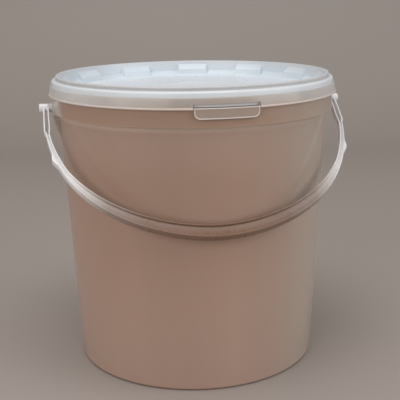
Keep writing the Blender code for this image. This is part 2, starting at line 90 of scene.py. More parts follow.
def fillet(before, corner, after, radius, steps):
    """Points of a round corner between two straight runs of a profile."""
    here = Vector(corner)
    back = Vector(before) - here
    ahead = Vector(after) - here
    room = 0.45 * min(back.length, ahead.length)
    angle = back.angle(ahead, math.pi)
    if radius <= 0.0 or room < 1e-7 or angle > math.pi - 0.02:
        return [tuple(corner)] * (steps + 1)
    reach = min(radius / math.tan(angle / 2.0), room)
    radius = reach * math.tan(angle / 2.0)
    start = here + back.normalized() * reach
    end = here + ahead.normalized() * reach
    center = here + (back.normalized() + ahead.normalized()).normalized() * (radius / math.sin(angle / 2.0))
    first = start - center
    last = end - center
    sweep = first.angle(last, 0.0)
    points = []
    for i in range(steps + 1):
        share = i / steps
        part = (first * math.sin((1.0 - share) * sweep) + last * math.sin(share * sweep)) / math.sin(sweep)
        points.append(tuple(center + part))
    return points


def rounded(corners, steps=3, closed=False):
    """A profile of (u, v, fillet radius) corners as a list of points, with round corners."""
    points = []
    count = len(corners)
    for index, (u, v, radius) in enumerate(corners):
        if not closed and index in (0, count - 1):
            points.append((u, v))
            continue
        before = corners[index - 1][:2]
        after = corners[(index + 1) % count][:2]
        points += fillet(before, (u, v), after, radius, steps)
    return points


def loft(name, rings, ring_closed=True, ends="open"):
    """A mesh through rings of points, each with as many points. ends is open, joined or capped."""
    shape = bmesh.new()
    rows = [[shape.verts.new(point) for point in ring] for ring in rings]
    pairs = list(zip(rows, rows[1:]))
    if ends == "joined":
        pairs.append((rows[-1], rows[0]))
    for first, second in pairs:
        count = len(first)
        for i in range(count if ring_closed else count - 1):
            j = (i + 1) % count
            shape.faces.new((first[i], first[j], second[j], second[i]))
    if ends == "capped":
        shape.faces.new(rows[0])
        shape.faces.new(rows[-1])
    return finished(name, shape)


def finished(name, shape):
    """Weld a bmesh, turn its faces outwards and make it a smooth-shaded mesh object."""
    bmesh.ops.remove_doubles(shape, verts=shape.verts, dist=MERGE)
    bmesh.ops.dissolve_degenerate(shape, edges=shape.edges, dist=MERGE)
    bmesh.ops.recalc_face_normals(shape, faces=shape.faces)
    mesh = bpy.data.meshes.new(name)
    shape.to_mesh(mesh)
    shape.free()
    made = bpy.data.objects.new(name, mesh)
    bpy.context.scene.collection.objects.link(made)
    shade(made)
    return made


def shade(piece):
    piece.data.shade_smooth()
    piece.data.set_sharp_from_angle(angle=math.radians(SHARP_ANGLE))


def turned(name, profile_at, stations):
    """Turn a profile around Z. profile_at gives the (radius, height) points at each angle."""
    rings = []
    for angle in stations:
        cos, sin = math.cos(angle), math.sin(angle)
        rings.append([(radius * cos, radius * sin, height) for radius, height in profile_at(angle)])
    return loft(name, rings, ring_closed=False, ends="joined")


def even_stations(count):
    """Angles spread evenly around a full turn."""
    return [2.0 * math.pi * i / count for i in range(count)]


def along_pivot(piece, side):
    """Lay a shape turned around Z along the pivot axis, pointing out on one side."""
    turn = Matrix.Rotation(side * math.pi / 2.0, 4, 'Y')
    piece.data.transform(Matrix.Translation((0.0, 0.0, PIVOT_HEIGHT)) @ turn)
    return piece


def combine(target, tool, operation):
    """Union or cut target with a tool mesh, apply it, and remove the tool."""
    step = target.modifiers.new("combine", 'BOOLEAN')
    step.operation = operation
    step.object = tool
    step.solver = 'EXACT'
    graph = bpy.context.evaluated_depsgraph_get()
    result = bpy.data.meshes.new_from_object(target.evaluated_get(graph))
    target.modifiers.clear()
    target.data = result
    bpy.data.objects.remove(tool, do_unlink=True)
    shade(target)
    return target


def smooth_path(points, steps):
    """A smooth curve through given points, by Catmull-Rom."""
    ends = [points[0]] + points + [points[-1]]
    path = []
    for a, b, c, d in zip(ends, ends[1:], ends[2:], ends[3:]):
        a, b, c, d = Vector(a), Vector(b), Vector(c), Vector(d)
        for i in range(steps):
            t = i / steps
            path.append(0.5 * ((2.0 * b) + (c - a) * t + (2.0 * a - 5.0 * b + 4.0 * c - d) * t * t
                               + (3.0 * b - a - 3.0 * c + d) * t ** 3))
    return path + [Vector(points[-1])]


def wall_radius(height):
    """Radius of the tapered wall's outside at a height."""
    return FOOT_RADIUS + TAPER * height


# ---------------------------------------------------------------- pail


def pail_corners():
    """The pail's half section from the middle of the floor, up the inside and down the outside."""
    floor, floor_ring = 0.0043, 0.062
    recess, recess_radius, foot_ring_inner = 0.0025, 0.1066, 0.1082
    foot = wall_radius(0.0)
    middle = 0.120
    return [
        (0.0, floor, 0.0), (floor_ring - 0.002, floor, 0.002), (floor_ring, floor + 0.0004, 0.002),
        (floor_ring + 0.002, floor, 0.002), (foot - WALL + 0.0002, floor, 0.0050),
        (wall_radius(FLANGE_BOTTOM) - WALL, FLANGE_BOTTOM - 0.0012, 0.0020),
        (NECK_INNER, FLANGE_TOP + 0.0002, 0.0015),
        (NECK_INNER, RIM_TOP - 0.0012, 0.0010), (NECK_INNER + 0.0008, RIM_TOP, 0.0006),
        (RIM_BEAD_RADIUS, RIM_TOP, 0.0009), (RIM_BEAD_RADIUS, RIM_TOP - 0.0024, 0.0007),
        (NECK_OUTER, RIM_TOP - 0.0036, 0.0008),
        (NECK_OUTER, FLANGE_TOP, 0.0006), (COLLAR_INNER + 0.0003, FLANGE_TOP, 0.0004),
        (COLLAR_INNER, COLLAR_TOP, 0.0004), (COLLAR_OUTER_TOP, COLLAR_TOP, 0.0005),
        (COLLAR_OUTER_FOOT, FLANGE_TOP + 0.0006, 0.0004), (LIP_RADIUS, FLANGE_TOP + 0.0001, 0.0004),
        (LIP_RADIUS, FLANGE_BOTTOM, 0.0006), (SKIRT_OUTER, FLANGE_BOTTOM, 0.0005),
        (SKIRT_OUTER, SKIRT_BOTTOM, 0.0005), (SKIRT_INNER, SKIRT_BOTTOM, 0.0004),
        (SKIRT_INNER, FLANGE_BOTTOM, 0.0005), (wall_radius(FLANGE_BOTTOM), FLANGE_BOTTOM, 0.0008),
        (wall_radius(middle), middle, 0.0), (foot + 0.0001, 0.0002, 0.0054),
        (foot_ring_inner, 0.0, 0.0008), (recess_radius, recess, 0.0012), (0.0, recess, 0.0),
    ]


EAR_RADIUS = 0.0100
EAR_FACE = 0.1319               # the raised ring's face, out along the pivot axis
HUB_TIP = 0.1347
GUSSET_HALF_WIDTH = 0.0055
GUSSET_ROUND = 0.0012           # radius of the gusset's two long edges
GUSSET_COLUMNS = 16
WINDOW_HALF_ANGLE = math.radians(12.07)
WINDOW_HEIGHT = 0.0032
WINDOW_COLUMNS = 41


def make_ear(side):
    """A round pad with a raised ring and a hub, pointing out along the pivot axis."""
    root, face = 0.1255, EAR_FACE - 0.0003
    hub, ring = 0.0044, 0.0070
    corners = [(0.0, HUB_TIP, 0.0), (hub, HUB_TIP, 0.0004), (hub, EAR_FACE, 0.0006),
               (ring, EAR_FACE, 0.0003), (ring + 0.0004, face, 0.0003), (EAR_RADIUS, face, 0.0009),
               (EAR_RADIUS, root, 0.0), (0.0, root, 0.0)]
    points = rounded(corners)
    return along_pivot(turned("ear", lambda angle: points, even_stations(PIN_STATIONS)), side)


def make_socket(side):
    """The blind stepped hole that holds the bail's pin behind a narrower mouth."""
    step, floor = 0.1300, 0.1270
    mouth, chamber = 0.0034, 0.0047
    corners = [(0.0, HUB_TIP + 0.0010, 0.0), (mouth + 0.0004, HUB_TIP + 0.0010, 0.0),
               (mouth, HUB_TIP - 0.0004, 0.0004), (mouth, step, 0.0003), (chamber, step, 0.0003),
               (chamber, floor, 0.0006), (0.0, floor, 0.0)]
    points = rounded(corners)
    return along_pivot(turned("socket", lambda angle: points, even_stations(PIN_STATIONS)), side)


def make_gusset(side):
    """The wedge that runs down from an ear into the wall, with its two long edges rounded."""
    front = [(EAR_FACE - 0.0005, PIVOT_HEIGHT), (EAR_FACE - 0.0005, 0.2350), (0.1300, 0.2270),
             (0.1276, 0.2180), (0.1256, 0.2090), (wall_radius(0.2040) - 0.0004, 0.2040)]
    edge = smooth_path(front, 6)
    rings = []
    for i in range(GUSSET_COLUMNS + 1):
        y = -GUSSET_HALF_WIDTH * math.cos(math.pi * i / GUSSET_COLUMNS)
        past = max(abs(y) - GUSSET_HALF_WIDTH + GUSSET_ROUND, 0.0)
        drop = GUSSET_ROUND - math.sqrt(GUSSET_ROUND ** 2 - min(past, GUSSET_ROUND) ** 2)
        outer = [(side * max(point.x - drop, wall_radius(point.y) - 0.0005), y, point.y) for point in edge]
        inner = [(side * (wall_radius(z) - 0.0011), y, z) for z in (0.2035, 0.2150, 0.2300, PIVOT_HEIGHT)]
        rings.append(outer + inner)
    return loft("gusset", rings, ends="capped")


def sector_solid(name, outline, middle, half_angle, steps):
    """The solid swept by a closed outline of (radius, height) points through an angle around Z."""
    rings = []
    for i in range(steps + 1):
        angle = middle + half_angle * (2.0 * i / steps - 1.0)
        cos, sin = math.cos(angle), math.sin(angle)
        rings.append([(radius * cos, radius * sin, height) for radius, height in outline])
    return loft(name, rings, ends="capped")


def make_window():
    """The slot in the collar that shows the lid's edge, with the tab's seat below it."""
    seat, outside, inside = LIP_RADIUS - 0.0016, LIP_RADIUS + 0.0010, COLLAR_INNER - 0.0002
    split, top = FLANGE_TOP + 0.0001, FLANGE_TOP + WINDOW_HEIGHT
    outline = [(seat, FLANGE_BOTTOM - 0.0010), (outside, FLANGE_BOTTOM - 0.0010), (outside, top),
               (inside, top), (inside, split), (seat, split)]
    return sector_solid("window", outline, TAB_ANGLE - math.pi / 2.0, WINDOW_HALF_ANGLE, WINDOW_COLUMNS)


def make_pail():
    points = rounded(pail_corners())
    pail = turned("pail_moulding", lambda angle: points, even_stations(TURN_STATIONS))
    combine(pail, make_window(), 'DIFFERENCE')
    for side in (1.0, -1.0):
        combine(pail, make_ear(side), 'UNION')
        combine(pail, make_gusset(side), 'UNION')
        combine(pail, make_socket(side), 'DIFFERENCE')
    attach(pail, "pail")
    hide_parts("pail")
    return pail


# ---------------------------------------------------------------- lid
LID_TURN = math.radians(9.5)    # how far the lid has been turned on the rim
LID_TOP = LID_HIGH.z
LID_SKIRT_BOTTOM = LID_LOW.z
LID_SKIRT_OUTER = 0.1317
LID_SKIRT_INNER = 0.13035
LID_SNAP_RADIUS = 0.12975       # inside of the bead that snaps under the pail's rim bead
LID_RIM_INNER = 0.1247
LID_GROOVE = 0.1267             # the groove between the stacking rim and the shoulder
LID_PLUG_OUTER = 0.1260
LID_PLUG_INNER = 0.1246
LID_PANEL = LID_TOP - 0.0144
LEDGE_COUNT = 12
LEDGE_INNER = 0.1180
LEDGE_OUTER = 0.1232
LEDGE_RISE = 0.0060
LEDGE_FALL = 0.0042             # how far each ledge slopes down towards the middle


def smoothstep(value):
    """A smooth rise from 0 to 1 as the value goes from 0 to 1."""
    value = min(max(value, 0.0), 1.0)
    return value * value * (3.0 - 2.0 * value)


def ledge_share(angle, half_angle, blend):
    """One on a raised ledge and zero between two, with a short ramp at each end, in degrees."""
    pitch = 360.0 / LEDGE_COUNT
    from_middle = abs((math.degrees(angle + LID_TURN) - 90.0 + pitch / 2.0) % pitch - pitch / 2.0)
    return smoothstep((half_angle + blend - from_middle) / (2.0 * blend))


def lid_profile(angle):
    """The lid's half section at an angle: panel, ledge, stacking rim, shoulder, skirt and plug."""
    share = ledge_share(angle, 7.5, 0.5)
    rise = LEDGE_RISE * share
    outer = LEDGE_OUTER + 0.0010 * share
    hollow = ledge_share(angle, 6.5, 0.45)
    seat = RIM_TOP + 0.0003
    snap = RIM_TOP - 0.0047
    low_slope = LID_PANEL - 0.0018 + 0.8 * (LID_PLUG_OUTER - LEDGE_INNER)
    underside = LID_PANEL - 0.0014
    foot = LID_PANEL - 0.0011
    ledge_back = LEDGE_INNER + 0.0014
    ring, step, rim_edge = 0.0311, 0.1040, LID_SKIRT_OUTER - 0.0039

    def under(low, high):
        """A height on the lid's underside, which rises into each ledge."""
        return low + (high - low) * hollow

    corners = [
        (0.0, LID_PANEL + 0.0005, 0.0), (ring - 0.0011, LID_PANEL + 0.0005, 0.0010),
        (ring - 0.0005, LID_PANEL + 0.0008, 0.0008), (ring + 0.0005, LID_PANEL + 0.0008, 0.0008),
        (ring + 0.0011, LID_PANEL + 0.0005, 0.0010),
        (step - 0.0005, LID_PANEL + 0.0005, 0.0008), (step + 0.0005, LID_PANEL, 0.0010),
        (LEDGE_INNER - 0.0002, LID_PANEL, 0.0012),
        (LEDGE_INNER, LID_PANEL + 0.0001 + rise, 0.0007),
        (outer, LID_PANEL + LEDGE_FALL + rise + 0.0008 * share, 0.0010),
        (LID_RIM_INNER, LID_TOP, 0.0007), (rim_edge, LID_TOP, 0.0006), (rim_edge, LID_TOP - 0.0014, 0.0004),
        (LID_GROOVE, LID_TOP - 0.0019, 0.0003), (LID_GROOVE, LID_TOP - 0.0034, 0.0004),
        (LID_SKIRT_OUTER, LID_TOP - 0.0035, 0.0020), (LID_SKIRT_OUTER, LID_SKIRT_BOTTOM, 0.0005),
        (LID_SKIRT_INNER, LID_SKIRT_BOTTOM, 0.0005), (LID_SKIRT_INNER, snap - 0.0010, 0.0003),
        (LID_SNAP_RADIUS, snap - 0.0003, 0.0002), (LID_SNAP_RADIUS, snap + 0.0003, 0.0002),
        (LID_SKIRT_INNER, snap + 0.0012, 0.0003), (LID_SKIRT_INNER, seat, 0.0010),
        (LID_PLUG_OUTER, seat, 0.0006), (LID_PLUG_OUTER, under(low_slope, foot), 0.0006),
        (LID_PLUG_INNER, under(low_slope - 0.00112, foot), 0.0004),
        (LID_PLUG_INNER, under(low_slope - 0.00108, LID_PANEL + 0.0095), 0.0004),
        (ledge_back, under(underside + 0.0007, LID_PANEL + 0.0053), 0.0004),
        (ledge_back, under(underside + 0.00065, foot), 0.0003),
        (ledge_back - 0.0010, underside, 0.0004), (0.0, underside, 0.0),
    ]
    return rounded(corners)


def lid_stations():
    """Angles around the lid, close together where a ledge starts or ends."""
    pitch = 180.0 / LEDGE_COUNT
    steps = [0.0, 1.5, 3.0, 4.5, 5.6, 6.0, 6.2, 6.4, 6.6, 6.8, 7.0, 7.17, 7.34, 7.5, 7.66, 7.83, 8.0,
             8.5, 9.75, 11.5, 13.25]
    angles = []
    for index in range(LEDGE_COUNT):
        middle = 90.0 + index * 2.0 * pitch
        angles += [middle + step for step in steps]
        angles += [middle + 2.0 * pitch - step for step in reversed(steps[1:])]
    return [math.radians(angle) - LID_TURN for angle in angles]


def make_lid():
    lid = turned("lid_moulding", lid_profile, lid_stations())
    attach(lid, "lid")
    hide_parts("lid")
    return lid


# ---------------------------------------------------------------- bail handle
# (x / half span) ^ span power + (reach / full reach) ^ reach power = 1 is its outer edge
BAIL_HALF_SPAN = 0.1404
BAIL_REACH = 0.1654
SPAN_POWER = 1.86
REACH_POWER = 2.56
BAIL_REST_TILT = math.radians(55.0)     # how far the resting bail's plane is from level
STRIP_START = 0.0370            # distances from the pivot to the strip's end and to its sides
STRIP_SIDE = 0.0850
STRIP_START_DEPTH = 0.0036      # depth of the section at its end, its sides and its grip
STRIP_SIDE_DEPTH = 0.0052
STRIP_GRIP_DEPTH = 0.0130
STRIP_WIDTH = 0.0060
FLANGE_THICKNESS = 0.0013
WEB_THICKNESS = 0.0016
STRIP_STATIONS = 180
LOOP_OUTER = 0.1398             # where the two strands run, out along the pivot axis
LOOP_INNER = 0.1358
LOOP_LENGTH = 0.0340
NUB_PLACE = 0.0690
NUB_LENGTH = 0.0180
NUB_HEIGHT = 0.0022


def turn_at(reach):
    """The turn along the bail at which its outer edge is that far below the pivot."""
    return math.asin((reach / BAIL_REACH) ** (REACH_POWER / 2.0))


def reach_at(turn):
    """How far below the pivot the outer edge is at a turn along the bail."""
    return BAIL_REACH * abs(math.sin(turn)) ** (2.0 / REACH_POWER)


def bail_edge(turn):
    """A point of the outer edge in the bail's plane, and the inward normal there."""
    x = math.copysign(BAIL_HALF_SPAN * abs(math.cos(turn)) ** (2.0 / SPAN_POWER), math.cos(turn))
    reach = reach_at(turn)
    slope_x = abs(x / BAIL_HALF_SPAN) ** (SPAN_POWER - 1.0) * SPAN_POWER / BAIL_HALF_SPAN
    slope_reach = (reach / BAIL_REACH) ** (REACH_POWER - 1.0) * REACH_POWER / BAIL_REACH
    normal = Vector((math.copysign(slope_x, x), -slope_reach))
    return Vector((x, -reach)), -normal.normalized()


def strip_depth(reach):
    """The strip's depth, which grows from the loop to the sides and on to the grip."""
    side = smoothstep((reach - STRIP_START) / (STRIP_SIDE - STRIP_START))
    grip = max((reach - STRIP_SIDE) / (BAIL_REACH - STRIP_SIDE), 0.0)
    return (STRIP_START_DEPTH + (STRIP_SIDE_DEPTH - STRIP_START_DEPTH) * side
            + (STRIP_GRIP_DEPTH - STRIP_SIDE_DEPTH) * grip)


def strip_section(turn):
    """The H-shaped section at a place along the strip, as (inset, across) points."""
    reach = reach_at(turn)
    depth = strip_depth(reach)
    from_nub = abs(reach - NUB_PLACE) / (NUB_LENGTH / 2.0)
    nub = NUB_HEIGHT * smoothstep(1.0 - from_nub)
    half = STRIP_WIDTH / 2.0
    web = WEB_THICKNESS / 2.0
    edge = FLANGE_THICKNESS
    upper = [(-nub, half, 0.0004), (edge, half, 0.0004), (edge, web, 0.0005),
             (depth - edge, web, 0.0005), (depth - edge, half, 0.0004), (depth, half, 0.0004)]
    lower = [(inset, -across, radius) for inset, across, radius in reversed(upper)]
    return rounded(upper + lower, steps=3, closed=True)


def make_strip():
    start = turn_at(STRIP_START)
    rings = []
    for i in range(STRIP_STATIONS + 1):
        turn = start + (math.pi - 2.0 * start) * i / STRIP_STATIONS
        place, inward = bail_edge(turn)
        rings.append([(place.x + inset * inward.x, place.y + inset * inward.y, across)
                      for inset, across in strip_section(turn)])
    return loft("bail_strip", rings, ends="capped")


def make_strand(name, points, side):
    """One flat strand of an end loop, with rounded edges."""
    half = FLANGE_THICKNESS / 2.0
    wide = (STRIP_WIDTH - 0.0004) / 2.0
    section = rounded([(-half, wide, 0.0004), (half, wide, 0.0004), (half, -wide, 0.0004),
                       (-half, -wide, 0.0004)], steps=3, closed=True)
    path = smooth_path(points, 8)
    rings = []
    for index, here in enumerate(path):
        run = (path[min(index + 1, len(path) - 1)] - path[max(index - 1, 0)]).normalized()
        across = Vector((run.y, -run.x))
        rings.append([(side * (here.x + inset * across.x), -(here.y + inset * across.y), wide_at)
                      for inset, wide_at in section])
    return loft(name, rings, ends="capped")


def make_loop(side):
    """The outer and inner strands between the strip's end and the boss."""
    start_x = bail_edge(turn_at(STRIP_START))[0].x
    outer_end = start_x - FLANGE_THICKNESS
    inner_end = start_x - STRIP_START_DEPTH + 0.0005
    outer = [(LOOP_OUTER - 0.0002, 0.0010), (LOOP_OUTER + 0.0001, LOOP_LENGTH * 0.45),
             (LOOP_OUTER - 0.0001, LOOP_LENGTH - 0.0015), (LOOP_OUTER - 0.0012, LOOP_LENGTH + 0.0014),
             (outer_end + 0.0006, LOOP_LENGTH + 0.0036), (outer_end, LOOP_LENGTH + 0.0072)]
    inner = [(LOOP_INNER, 0.0010), (LOOP_INNER, LOOP_LENGTH * 0.45), (LOOP_INNER - 0.0004, LOOP_LENGTH * 0.8),
             (inner_end + 0.0002, STRIP_START + 0.0006), (inner_end - 0.0004, STRIP_START + 0.0046)]
    return [make_strand("outer_strand", outer, side), make_strand("inner_strand", inner, side)]


def make_boss(side):
    """Round boss with a dished end, the pin through the ear, and its retaining head."""
    tip, inner, head_back, pin_end = BAIL_HIGH.x, 0.1355, 0.1296, 0.1274
    radius, pin, head, dish = 0.0040, 0.0031, 0.0042, 0.0018
    corners = [(0.0, tip - 0.0006, 0.0), (dish, tip - 0.0006, 0.0004), (dish + 0.0005, tip, 0.0004),
               (radius, tip, 0.0008), (radius, inner, 0.0004), (pin, inner, 0.0003),
               (pin, head_back, 0.0002), (head, head_back, 0.0003), (head, head_back - 0.0012, 0.0004),
               (head - 0.0012, pin_end, 0.0004), (0.0, pin_end, 0.0)]
    points = rounded(corners)
    boss = turned("boss", lambda angle: points, even_stations(PIN_STATIONS))
    boss.data.transform(Matrix.Rotation(side * math.pi / 2.0, 4, 'Y'))
    return boss


def make_bail():
    bail = make_strip()
    for side in (1.0, -1.0):
        for part in (*make_loop(side), make_boss(side)):
            combine(bail, part, 'UNION')
    tilt = Matrix.Rotation(math.pi / 2.0 - BAIL_REST_TILT, 4, 'X')
    bail.data.transform(Matrix.Translation((0.0, 0.0, PIVOT_HEIGHT)) @ tilt)
    bail.name = "bail_moulding"
    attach(bail, "bail")
    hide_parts("bail_handle")
    return bail


# ---------------------------------------------------------------- tamper tab and nibs
TAB_HALF_ANGLE = math.radians(11.7)
TAB_THICKNESS = 0.0013
TAB_CORNER = 0.0050
TAB_RIB_WIDTH = 0.0011
TAB_RIB_HEIGHT = 0.0005
TAB_COLUMNS = 120
TAB_ROWS = 30


def around(angle, radius, height):
    """A point at an angle from the tab's middle, going round with the pail."""
    turn = TAB_ANGLE - math.pi / 2.0 + angle
    return (radius * math.cos(turn), radius * math.sin(turn), height)


def tab_foot(arc):
    """Height of the tab's lower edge at a distance along it from the middle, round at the ends."""
    from_end = max(TAB_HALF_ANGLE * LIP_RADIUS - abs(arc), 0.0)
    if from_end >= TAB_CORNER:
        return TAB_LOW.z
    return TAB_LOW.z + TAB_CORNER - math.sqrt(TAB_CORNER ** 2 - (TAB_CORNER - from_end) ** 2)


def edge_distance(arc, height):
    """Distance from the tab's side and lower edges, round its lower corners."""
    from_side = TAB_HALF_ANGLE * LIP_RADIUS - abs(arc)
    from_foot = height - TAB_LOW.z
    if from_side < TAB_CORNER and from_foot < TAB_CORNER:
        return TAB_CORNER - math.hypot(TAB_CORNER - from_side, TAB_CORNER - from_foot)
    return min(from_side, from_foot)


def tab_face(arc, height):
    """Radius of the tab's front: a raised round rib along three edges, and a lip along the top."""
    rib = TAB_RIB_HEIGHT * smoothstep(2.0 - 2.0 * edge_distance(arc, height) / TAB_RIB_WIDTH)
    lip = TAB_RIB_HEIGHT * smoothstep(2.0 - (TAB_HIGH.z - height) / 0.0005)
    edge = 0.00035 * smoothstep(1.0 - edge_distance(arc, height) / 0.0004)
    top = 0.00030 * smoothstep(1.0 - (TAB_HIGH.z - height) / 0.0003)
    return LIP_RADIUS - TAB_RIB_HEIGHT + max(rib, lip) - max(edge, top)


def spread_shares(count, crowd):
    """Shares from 0 to 1, crowded towards both ends."""
    shares = []
    for i in range(count + 1):
        even = i / count
        shares.append(even + (smoothstep(even) - even) * crowd)
    return shares


def make_tab():
    """A curved plate with a raised U-shaped rib, as a front and a back sheet joined at the edge."""
    half_arc = TAB_HALF_ANGLE * LIP_RADIUS
    back = LIP_RADIUS - TAB_THICKNESS
    rings = []
    for column in spread_shares(TAB_COLUMNS, 0.85):
        arc = half_arc * (2.0 * column - 1.0)
        foot = tab_foot(arc)
        heights = [foot + (TAB_HIGH.z - foot) * row for row in spread_shares(TAB_ROWS, 0.7)]
        angle = arc / LIP_RADIUS
        front_points = [around(angle, tab_face(arc, height), height) for height in heights]
        back_points = [around(angle, back, height) for height in reversed(heights)]
        rings.append(front_points + back_points)
    tab = loft("tab_moulding", rings, ends="capped")
    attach(tab, "tab")
    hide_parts("tamper_tab")
    return tab


def make_nib(index):
    """A breakaway bridge: a small block that narrows towards the tab, where it snaps."""
    node = f"breakaway_nib_{index}"
    low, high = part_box(node)
    middle = (low + high) / 2.0
    outward = Vector((middle.x, middle.y, 0.0)).normalized()
    sideways = Vector((-outward.y, outward.x, 0.0))
    length = LIP_RADIUS - TAB_THICKNESS - SKIRT_OUTER - 0.0006
    rings = []
    for share, half in ((-0.5, 0.00058), (-0.1, 0.00058), (0.2, 0.00045), (0.5, 0.00030)):
        center = middle + outward * (share * length)
        square = rounded([(-half, half, half * 0.4), (half, half, half * 0.4), (half, -half, half * 0.4),
                          (-half, -half, half * 0.4)], steps=3, closed=True)
        rings.append([tuple(center + sideways * u + Vector((0.0, 0.0, v))) for u, v in square])
    nib = loft(f"nib_bridge_{index}", rings, ends="capped")
    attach(nib, "pail")
    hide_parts(node)
    return nib


# ---------------------------------------------------------------- plastics
PLASTIC_IOR = 1.49
# Painted highlight: the bright line along the lip's edge, where it catches the light.
LIP_HIGHLIGHT_COLOR = (0.82, 0.67, 0.59)


class Plastic:
    """A node material built up around one Principled shader."""

    def __init__(self, name):
        self.material = bpy.data.materials.new(name)
        self.material.use_nodes = True
        self.tree = self.material.node_tree
        self.shader = self.tree.nodes["Principled BSDF"]
        self.where = self.tree.nodes.new("ShaderNodeTexCoord").outputs["Object"]

    def node(self, kind, **values):
        made = self.tree.nodes.new(kind)
        for key, value in values.items():
            if key in made.inputs:
                made.inputs[key].default_value = value
            else:
                setattr(made, key, value)
        return made

    def link(self, out, into):
        self.tree.links.new(out, into)

    def noise(self, scale, detail=3.0, stretch=(1.0, 1.0, 1.0)):
        """A noise pattern in the object's own space, stretched along its axes."""
        mapping = self.node("ShaderNodeMapping")
        mapping.inputs["Scale"].default_value = stretch
        self.link(self.where, mapping.inputs["Vector"])
        pattern = self.node("ShaderNodeTexNoise", Scale=scale, Detail=detail)
        self.link(mapping.outputs["Vector"], pattern.inputs["Vector"])
        return pattern.outputs["Fac"]

    def spread(self, value, low, high):
        """Map a 0 to 1 pattern to a range of numbers."""
        mapped = self.node("ShaderNodeMapRange")
        mapped.inputs["From Min"].default_value = 0.3
        mapped.inputs["From Max"].default_value = 0.7
        mapped.inputs["To Min"].default_value = low
        mapped.inputs["To Max"].default_value = high
        self.link(value, mapped.inputs["Value"])
        return mapped.outputs["Result"]

    def blend(self, factor, first, second):
        """Mix two colours; each is a colour or another node's output."""
        mixed = self.node("ShaderNodeMix", data_type='RGBA')
        self.link(factor, mixed.inputs["Factor"])
        for socket, value in ((mixed.inputs[6], first), (mixed.inputs[7], second)):
            if isinstance(value, tuple):
                socket.default_value = (*value, 1.0)
            else:
                self.link(value, socket)
        return mixed.outputs[2]

    def ramp(self, value, stops):
        """Colours at places along a measured length, as (metres, colour) stops in order."""
        first, last = stops[0][0], stops[-1][0]
        scaled = self.node("ShaderNodeMapRange")
        scaled.inputs["From Min"].default_value = first
        scaled.inputs["From Max"].default_value = last
        self.link(value, scaled.inputs["Value"])
        ramp = self.node("ShaderNodeValToRGB")
        elements = ramp.color_ramp.elements
        elements[-1].color = (*stops[-1][1], 1.0)
        elements[0].color = (*stops[0][1], 1.0)
        for place, color in stops[1:-1]:
            elements.new((place - first) / (last - first)).color = (*color, 1.0)
        self.link(scaled.outputs["Result"], ramp.inputs["Fac"])
        return ramp.outputs["Color"]

    def along(self, axis):
        split = self.node("ShaderNodeSeparateXYZ")
        self.link(self.where, split.inputs["Vector"])
        return split.outputs[axis]

    def rise(self, value, start, end, top):
        """A share that grows smoothly from 0 to top as a measured length goes from start to end."""
        mapped = self.node("ShaderNodeMapRange", interpolation_type='SMOOTHSTEP')
        mapped.inputs["From Min"].default_value = start
        mapped.inputs["From Max"].default_value = end
        mapped.inputs["To Max"].default_value = top
        self.link(value, mapped.inputs["Value"])
        return mapped.outputs["Result"]

    def from_middle(self, keep):
        """Length of the object-space position with only the kept axes, such as (1, 1, 0)."""
        flat = self.node("ShaderNodeVectorMath", operation='MULTIPLY')
        flat.inputs[1].default_value = keep
        self.link(self.where, flat.inputs[0])
        length = self.node("ShaderNodeVectorMath", operation='LENGTH')
        self.link(flat.outputs["Vector"], length.inputs[0])
        return length.outputs["Value"]

    def varied(self, color, pattern, low, high):
        """Make a colour lighter and darker by a pattern, as factors."""
        mixed = self.node("ShaderNodeMix", data_type='RGBA', blend_type='MULTIPLY')
        mixed.inputs["Factor"].default_value = 1.0
        self.link(color, mixed.inputs[6])
        self.link(self.spread(pattern, low, high), mixed.inputs[7])
        return mixed.outputs[2]

    def bump(self, value, strength, distance):
        bumped = self.node("ShaderNodeBump", Strength=strength, Distance=distance)
        self.link(value, bumped.inputs["Height"])
        self.link(bumped.outputs["Normal"], self.shader.inputs["Normal"])


def set_sockets(plastic, values):
    """Plain numbers on the shader's own sockets."""
    for socket, value in values.items():
        plastic.shader.inputs[socket].default_value = value


def natural_plastic(name, color_at):
    """Milky natural polypropylene: glossy and warm, with faint upright flow streaks."""
    made = Plastic(name)
    set_sockets(made, {
        "Roughness": 0.20, "IOR": PLASTIC_IOR, "Sheen Weight": 0.06, "Sheen Roughness": 0.35,
        "Subsurface Weight": 0.35, "Subsurface Radius": (0.010, 0.007, 0.005), "Subsurface Scale": 1.0})
    streaks = made.noise(16.0, 3.0, (1.0, 1.0, 0.10))
    gloss = made.noise(60.0, 3.0, (1.0, 1.0, 0.3))
    ripple = made.noise(70.0, 2.0, (1.0, 1.0, 0.25))
    made.link(made.varied(color_at(made), streaks, 0.965, 1.035), made.shader.inputs["Base Color"])
    made.link(made.spread(gloss, 0.16, 0.24), made.shader.inputs["Roughness"])
    made.bump(ripple, 0.05, 0.0003)
    return made.material


